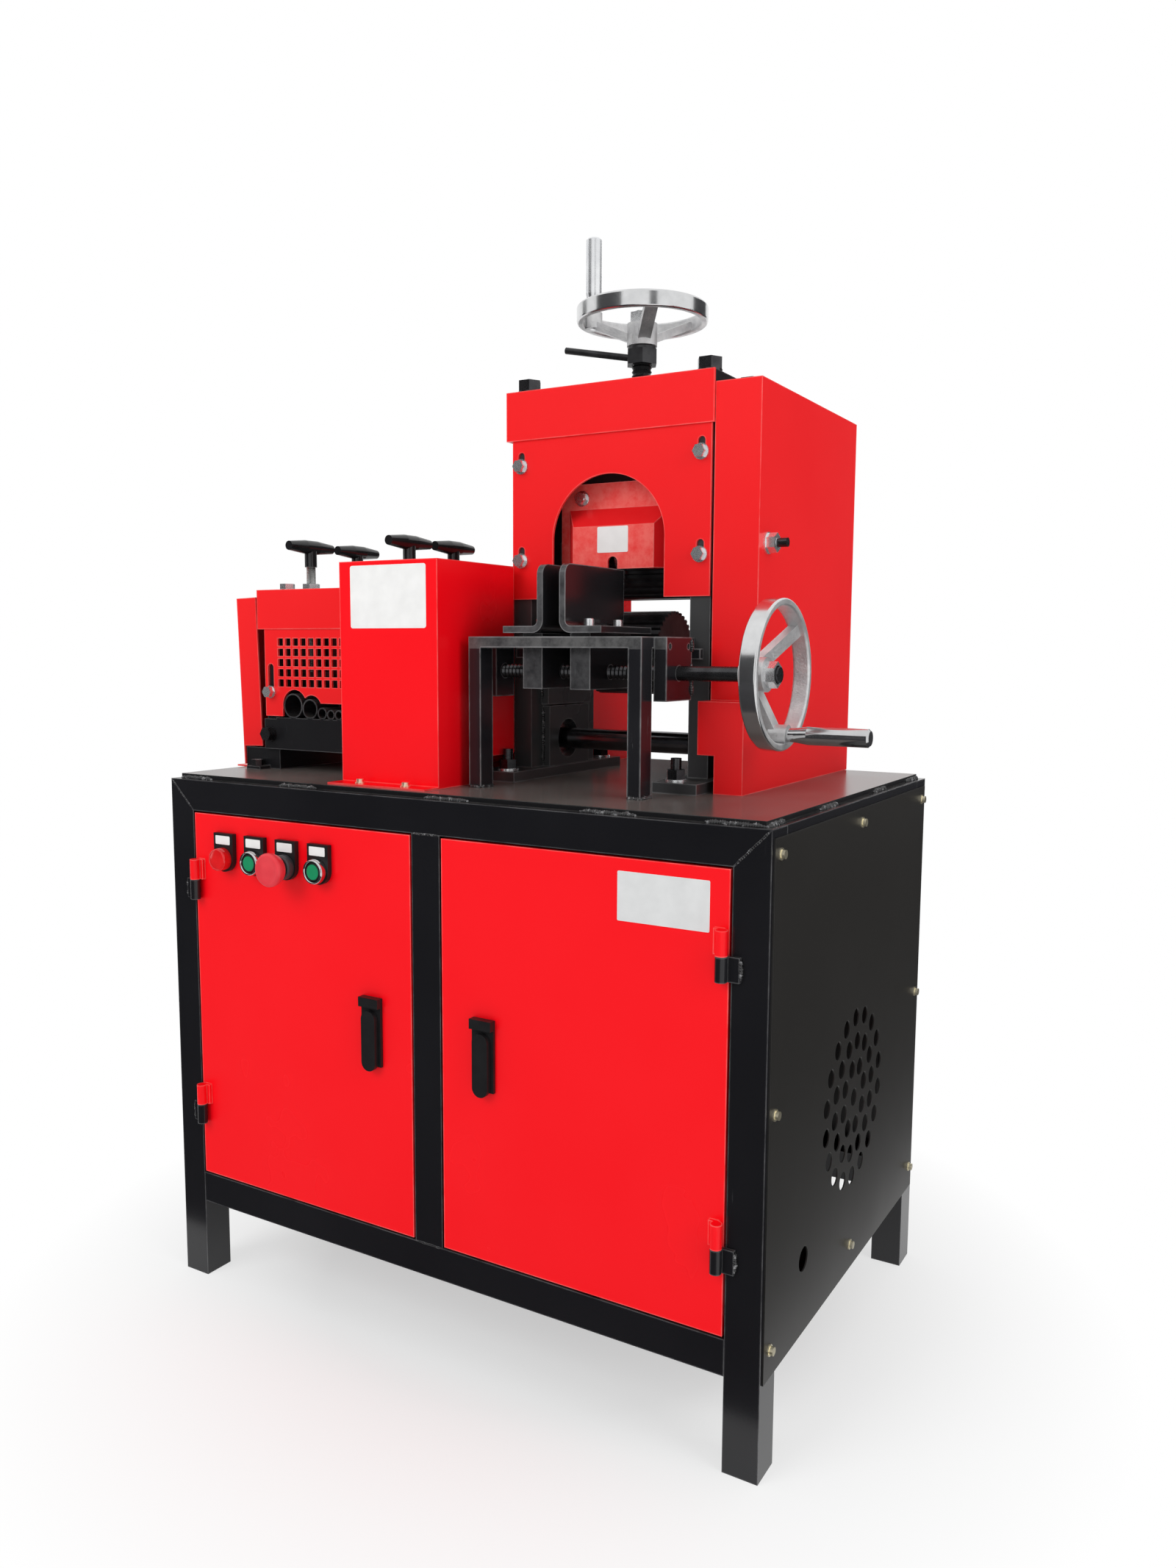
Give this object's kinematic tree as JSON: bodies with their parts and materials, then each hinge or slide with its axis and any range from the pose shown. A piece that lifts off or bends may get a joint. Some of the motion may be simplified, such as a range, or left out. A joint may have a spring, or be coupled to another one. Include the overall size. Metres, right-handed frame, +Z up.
{
  "type": "wire stripping machine",
  "caption": "Floor-standing wire stripping machine: a cable head with rollers, blade and guide jaws beside a wire head with feed tubes, on a steel cabinet with doors.",
  "frame": {"origin": "on the floor, under the middle of the machine's outline", "axes": "+X to the right seen from the front, +Y to the back, +Z up"},
  "size_m": [0.848, 0.5656, 1.296],
  "materials": {
    "red_paint": "gloss",
    "black_paint": "gloss",
    "table_paint": "gloss",
    "panel_paint": "satin",
    "machine_paint": "gloss",
    "motor_paint": "satin",
    "box_plastic": "matt",
    "steel": "satin",
    "dark_steel": "oiled",
    "black_oxide": "satin",
    "zinc": "bright",
    "yellow_zinc": "bright",
    "chrome": "polished",
    "black_plastic": "satin",
    "green_plastic": "gloss",
    "red_plastic": "gloss",
    "lamp_lens": "translucent"
  },
  "bodies": {
    "cabinet": {"frame_legs": "black_paint", "frame_rails": "black_paint", "table_top": "table_paint", "panels": "panel_paint", "panel_screws": "yellow_zinc", "hinge_pins": "black_paint", "gear_motor": "motor_paint", "chains": "dark_steel", "switch_box": "box_plastic", "head_plates": "machine_paint", "bearings": "steel", "black_bolts": "black_oxide", "crosshead": "machine_paint", "top_cap": "red_paint", "front_plate": "red_paint", "zinc_bolts": "zinc", "tower_cover": "red_paint", "guide_stand": "machine_paint", "unit_plates": "machine_paint", "unit_top_plate": "machine_paint", "unit_cap": "red_paint", "unit_grille": "red_paint", "feed_rack": "black_oxide", "side_cover": "red_paint", "guard_box": "red_paint"},
    "left_door": {"left_door": "red_paint", "left_lock": "black_plastic", "legend_holders": "black_plastic", "collars": "chrome", "pilot_lamp": "lamp_lens"},
    "right_door": {"right_door": "red_paint", "right_lock": "black_plastic"},
    "left_lever": {"left_lever": "black_plastic"},
    "right_lever": {"right_lever": "black_plastic"},
    "start_button": {"start_button": "green_plastic"},
    "reverse_button": {"reverse_button": "green_plastic"},
    "e_stop": {"e_stop": "red_plastic"},
    "carriage": {"carriage": "machine_paint", "inner_guard": "red_paint", "blade": "steel"},
    "press_roller": {"press_roller": "dark_steel"},
    "lift_screw": {"lift_screw": "black_oxide", "top_wheel": "chrome"},
    "top_grip": {"top_grip": "chrome"},
    "lock_nut": {"lock_nut": "black_oxide"},
    "guide_screw": {"guide_screw": "black_oxide", "guide_wheel": "chrome"},
    "guide_grip": {"guide_grip": "chrome"},
    "left_jaw": {"left_jaw": "machine_paint"},
    "right_jaw": {"right_jaw": "machine_paint"},
    "front_press": {"front_press": "dark_steel"},
    "rear_press": {"rear_press": "dark_steel"},
    "tee_front_left": {"tee_front_left": "black_plastic"},
    "tee_front_right": {"tee_front_right": "black_plastic"},
    "tee_rear_left": {"tee_rear_left": "black_plastic"},
    "tee_rear_right": {"tee_rear_right": "black_plastic"},
    "drive_line": {"drive_line": "dark_steel"},
    "front_roller": {"front_roller": "dark_steel"},
    "feed_roller": {"feed_roller": "dark_steel"},
    "output_wheel": {"output_wheel": "dark_steel"}
  },
  "joints": [
    {"name": "left_door_swing", "type": "hinge", "parent": "cabinet", "child": "left_door", "pos_m": [-0.372, -0.25375, 0.372], "axis": [0, 0, -1], "range_deg": [0, 110]},
    {"name": "right_door_swing", "type": "hinge", "parent": "cabinet", "child": "right_door", "pos_m": [0.337, -0.25375, 0.372], "axis": [0, 0, 1], "range_deg": [0, 110]},
    {"name": "left_lever_turn", "type": "hinge", "parent": "left_door", "child": "left_lever", "pos_m": [-0.095, -0.24675, 0.3886], "axis": [0, 1, 0], "range_deg": [0, 90]},
    {"name": "right_lever_turn", "type": "hinge", "parent": "right_door", "child": "right_lever", "pos_m": [0.06, -0.24675, 0.3886], "axis": [0, -1, 0], "range_deg": [0, 90]},
    {"name": "start_press", "type": "slide", "parent": "left_door", "child": "start_button", "axis": [0, 1, 0], "range_m": [0, 0.004], "stiffness_N_per_m": 600, "springref_m": -0.002},
    {"name": "reverse_press", "type": "slide", "parent": "left_door", "child": "reverse_button", "axis": [0, 1, 0], "range_m": [0, 0.004], "stiffness_N_per_m": 600, "springref_m": -0.002},
    {"name": "e_stop_press", "type": "slide", "parent": "left_door", "child": "e_stop", "axis": [0, 1, 0], "range_m": [0, 0.005]},
    {"name": "carriage_lift", "type": "slide", "parent": "cabinet", "child": "carriage", "axis": [0, 0, 1], "range_m": [-0.0126, 0.0451]},
    {"name": "lift_screw_turn", "type": "hinge", "parent": "carriage", "child": "lift_screw", "pos_m": [0.09, 0.03925, 1.02], "axis": [0, 0, 1], "range_deg": [-900, 3240]},
    {"name": "top_grip_spin", "type": "hinge", "parent": "lift_screw", "child": "top_grip", "pos_m": [0.02747, 0.03157, 1.24], "axis": [0, 0, 1], "continuous": true},
    {"name": "lock_nut_turn", "type": "hinge", "parent": "lift_screw", "child": "lock_nut", "pos_m": [0.09, 0.03925, 1.157], "axis": [0, 0, 1], "range_deg": [-60, 60]},
    {"name": "press_roller_spin", "type": "hinge", "parent": "carriage", "child": "press_roller", "pos_m": [0.09, 0.03825, 0.904], "axis": [1, 0, 0], "continuous": true},
    {"name": "guide_screw_turn", "type": "hinge", "parent": "cabinet", "child": "guide_screw", "pos_m": [0.092, -0.10675, 0.7815], "axis": [1, 0, 0], "range_deg": [-684, 2880]},
    {"name": "guide_grip_spin", "type": "hinge", "parent": "guide_screw", "child": "guide_grip", "pos_m": [0.3725, -0.09473, 0.71966], "axis": [1, 0, 0], "continuous": true},
    {"name": "left_jaw_slide", "type": "slide", "parent": "cabinet", "child": "left_jaw", "axis": [1, 0, 0], "range_m": [-0.0401, 0.0096]},
    {"name": "right_jaw_slide", "type": "slide", "parent": "cabinet", "child": "right_jaw", "axis": [1, 0, 0], "range_m": [-0.0096, 0.0401]},
    {"name": "front_press_lift", "type": "slide", "parent": "cabinet", "child": "front_press", "axis": [0, 0, 1], "range_m": [-0.004, 0.01]},
    {"name": "tee_front_left_turn", "type": "hinge", "parent": "front_press", "child": "tee_front_left", "pos_m": [-0.3525, -0.06075, 0.9], "axis": [0, 0, 1], "range_deg": [-721, 1801]},
    {"name": "tee_front_right_turn", "type": "hinge", "parent": "front_press", "child": "tee_front_right", "pos_m": [-0.1855, -0.06075, 0.9], "axis": [0, 0, 1], "range_deg": [-721, 1801]},
    {"name": "rear_press_lift", "type": "slide", "parent": "cabinet", "child": "rear_press", "axis": [0, 0, 1], "range_m": [-0.004, 0.01]},
    {"name": "tee_rear_left_turn", "type": "hinge", "parent": "rear_press", "child": "tee_rear_left", "pos_m": [-0.3525, 0.03125, 0.9], "axis": [0, 0, 1], "range_deg": [-721, 1801]},
    {"name": "tee_rear_right_turn", "type": "hinge", "parent": "rear_press", "child": "tee_rear_right", "pos_m": [-0.1855, 0.03125, 0.9], "axis": [0, 0, 1], "range_deg": [-721, 1801]},
    {"name": "feed_roller_spin", "type": "hinge", "parent": "cabinet", "child": "feed_roller", "pos_m": [0.09, 0.03825, 0.80277], "axis": [1, 0, 0], "continuous": true},
    {"name": "drive_line_spin", "type": "hinge", "parent": "cabinet", "child": "drive_line", "pos_m": [-0.0175, 0.03125, 0.695], "axis": [1, 0, 0], "continuous": true},
    {"name": "front_roller_spin", "type": "hinge", "parent": "cabinet", "child": "front_roller", "pos_m": [-0.2695, -0.06075, 0.695], "axis": [1, 0, 0], "continuous": true},
    {"name": "output_wheel_spin", "type": "hinge", "parent": "cabinet", "child": "output_wheel", "pos_m": [0.2425, 0.03125, 0.2206], "axis": [1, 0, 0], "continuous": true}
  ],
  "couplings": [
    {"joint": "carriage_lift", "follows": "lift_screw_turn", "m_per_rad": 0.00079577},
    {"joint": "left_jaw_slide", "follows": "guide_screw_turn", "m_per_rad": -0.00079577},
    {"joint": "right_jaw_slide", "follows": "guide_screw_turn", "m_per_rad": 0.00079577},
    {"joint": "tee_front_left_turn", "follows": "front_press_lift", "rad_per_m": 3141.6},
    {"joint": "tee_front_right_turn", "follows": "front_press_lift", "rad_per_m": 3141.6},
    {"joint": "tee_rear_left_turn", "follows": "rear_press_lift", "rad_per_m": 3141.6},
    {"joint": "tee_rear_right_turn", "follows": "rear_press_lift", "rad_per_m": 3141.6},
    {"joint": "drive_line_spin", "follows": "feed_roller_spin", "ratio": -2},
    {"joint": "front_roller_spin", "follows": "feed_roller_spin", "ratio": -2},
    {"joint": "output_wheel_spin", "follows": "feed_roller_spin", "ratio": -2}
  ]
}
